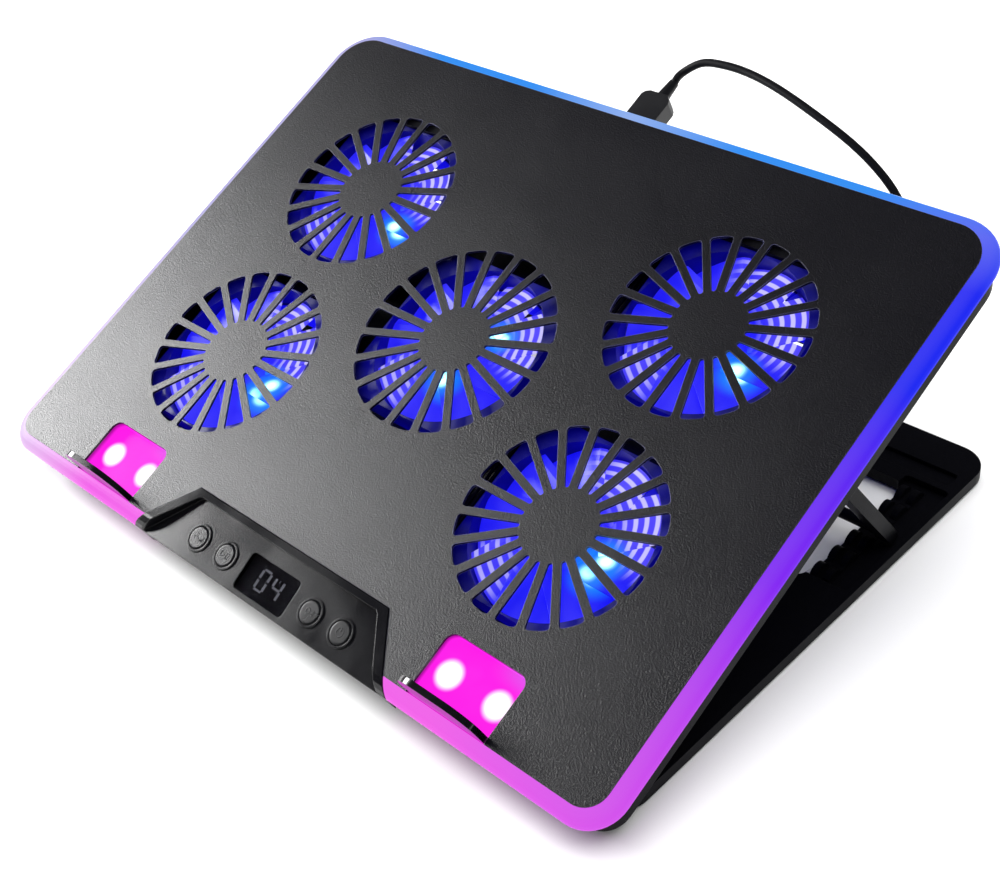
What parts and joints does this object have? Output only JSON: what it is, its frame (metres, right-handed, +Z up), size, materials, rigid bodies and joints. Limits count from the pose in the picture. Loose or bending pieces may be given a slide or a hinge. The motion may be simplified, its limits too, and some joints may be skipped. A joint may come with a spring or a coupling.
{
  "type": "laptop cooling pad",
  "caption": "Tilting laptop stand with a slotted metal deck over round fans, a glowing edge, a control console, flip-up stops and a notched folding base.",
  "frame": {"origin": "centre of the standing object's footprint box, at table level", "axes": "+X to the user's right along the front edge, +Y from the user towards the back, +Z up"},
  "size_m": [0.3744, 0.3555, 0.1418],
  "materials": {
    "base_plastic": "moulded black plastic, fine grain",
    "foot_rubber": "soft black rubber",
    "steel_pin": "plain steel pin",
    "shell_plastic": "moulded black plastic, fine grain",
    "panel_metal": "charcoal textured powder coat",
    "ring_diffuser": "translucent light diffuser, lit magenta in front to blue behind",
    "led_board": "white circuit board with lamps",
    "screw_steel": "zinc-plated screw",
    "pocket_diffuser": "translucent tray lit magenta",
    "stop_plastic": "glossy black plastic",
    "console_plastic": "satin black plastic",
    "display_lens": "glossy dark display cover",
    "figure_light": "dim white lit figures",
    "module_plastic": "black display block",
    "circuit_board": "green circuit board",
    "switch_metal": "small steel push switch",
    "button_plastic": "satin black button with an embossed symbol",
    "fan_plastic": "dark blue translucent plastic",
    "rotor_plastic": "translucent blue plastic, lit from inside",
    "fan_lamp": "small bright cyan-white lamp",
    "wire_cover": "thin insulated wire",
    "socket_metal": "nickel-plated steel",
    "prop_metal": "black painted steel",
    "plug_plastic": "moulded black plug grip",
    "cord_rubber": "black cable jacket",
    "tie_fabric": "woven hook-and-loop strap"
  },
  "bodies": {
    "base": {"base_frame": "base_plastic", "rack_left": "base_plastic", "rack_right": "base_plastic", "rubber_feet": "foot_rubber", "hinge_pins": "steel_pin", "power_cord": "cord_rubber", "cord_coil": "cord_rubber", "cord_tail": "cord_rubber", "cord_tie": "tie_fabric", "end_plug_body": "plug_plastic", "end_plug_shell": "socket_metal"},
    "deck": {"lower_shell": "shell_plastic", "top_panel": "panel_metal", "light_ring": "ring_diffuser", "ring_led_strips": "led_board", "case_screws": "screw_steel", "led_window_left": "pocket_diffuser", "led_window_right": "pocket_diffuser", "window_led_boards": "led_board", "stop_pins": "steel_pin", "console_bezel": "console_plastic", "display_window": "display_lens", "display_digits": "figure_light", "display_module": "module_plastic", "control_board": "circuit_board", "console_screws": "screw_steel", "tact_switches": "switch_metal", "fan_frame_1": "fan_plastic", "fan_frame_2": "fan_plastic", "fan_frame_3": "fan_plastic", "fan_frame_4": "fan_plastic", "fan_frame_5": "fan_plastic", "fan_leds": "fan_lamp", "fan_screws": "screw_steel", "wire_loom": "wire_cover", "usb_sockets": "socket_metal", "usb_board": "circuit_board", "prop_pins": "steel_pin", "usb_plug_body": "plug_plastic", "usb_plug_shell": "socket_metal", "strain_relief": "cord_rubber"},
    "prop": {"prop_frame": "prop_metal"},
    "left_stop": {"stop_left": "stop_plastic"},
    "right_stop": {"stop_right": "stop_plastic"},
    "fan_rotor_1": {"rotor_1": "rotor_plastic"},
    "fan_rotor_2": {"rotor_2": "rotor_plastic"},
    "fan_rotor_3": {"rotor_3": "rotor_plastic"},
    "fan_rotor_4": {"rotor_4": "rotor_plastic"},
    "fan_rotor_5": {"rotor_5": "rotor_plastic"},
    "push_button_1": {"button_1": "button_plastic"},
    "push_button_2": {"button_2": "button_plastic"},
    "push_button_3": {"button_3": "button_plastic"},
    "push_button_4": {"button_4": "button_plastic"}
  },
  "joints": [
    {"name": "deck_tilt", "type": "hinge", "parent": "base", "child": "deck", "pos_m": [0, -0.11415, 0.01], "axis": [1, 0, 0], "range_deg": [-24, 4]},
    {"name": "prop_fold", "type": "hinge", "parent": "deck", "child": "prop", "pos_m": [0, 0.01876, 0.07191], "axis": [1, 0, 0], "range_deg": [-14, 84]},
    {"name": "left_stop_flip", "type": "hinge", "parent": "deck", "child": "left_stop", "pos_m": [-0.1097, -0.12573, 0.02039], "axis": [1, 0, 0], "range_deg": [-90, 0]},
    {"name": "right_stop_flip", "type": "hinge", "parent": "deck", "child": "right_stop", "pos_m": [0.1097, -0.12573, 0.02039], "axis": [1, 0, 0], "range_deg": [-90, 0]},
    {"name": "fan_spin_1", "type": "hinge", "parent": "deck", "child": "fan_rotor_1", "pos_m": [-0.0998, -0.04743, 0.04627], "axis": [0, -0.4067, 0.9135], "continuous": true},
    {"name": "fan_spin_2", "type": "hinge", "parent": "deck", "child": "fan_rotor_2", "pos_m": [-0.0998, 0.04438, 0.08715], "axis": [0, -0.4067, 0.9135], "continuous": true},
    {"name": "fan_spin_3", "type": "hinge", "parent": "deck", "child": "fan_rotor_3", "pos_m": [0, -0.00176, 0.06661], "axis": [0, -0.4067, 0.9135], "continuous": true},
    {"name": "fan_spin_4", "type": "hinge", "parent": "deck", "child": "fan_rotor_4", "pos_m": [0.0998, 0.04438, 0.08715], "axis": [0, -0.4067, 0.9135], "continuous": true},
    {"name": "fan_spin_5", "type": "hinge", "parent": "deck", "child": "fan_rotor_5", "pos_m": [0.0998, -0.04743, 0.04627], "axis": [0, -0.4067, 0.9135], "continuous": true},
    {"name": "button_press_1", "type": "slide", "parent": "deck", "child": "push_button_1", "axis": [0, -0.5299, 0.848], "range_m": [-0.0008, 0], "stiffness_N_per_m": 1500, "springref_m": 0.0008},
    {"name": "button_press_2", "type": "slide", "parent": "deck", "child": "push_button_2", "axis": [0, -0.5299, 0.848], "range_m": [-0.0008, 0], "stiffness_N_per_m": 1500, "springref_m": 0.0008},
    {"name": "button_press_3", "type": "slide", "parent": "deck", "child": "push_button_3", "axis": [0, -0.5299, 0.848], "range_m": [-0.0008, 0], "stiffness_N_per_m": 1500, "springref_m": 0.0008},
    {"name": "button_press_4", "type": "slide", "parent": "deck", "child": "push_button_4", "axis": [0, -0.5299, 0.848], "range_m": [-0.0008, 0], "stiffness_N_per_m": 1500, "springref_m": 0.0008}
  ],
  "couplings": [
    {"joint": "prop_fold", "follows": "deck_tilt", "ratio": -3.5}
  ]
}
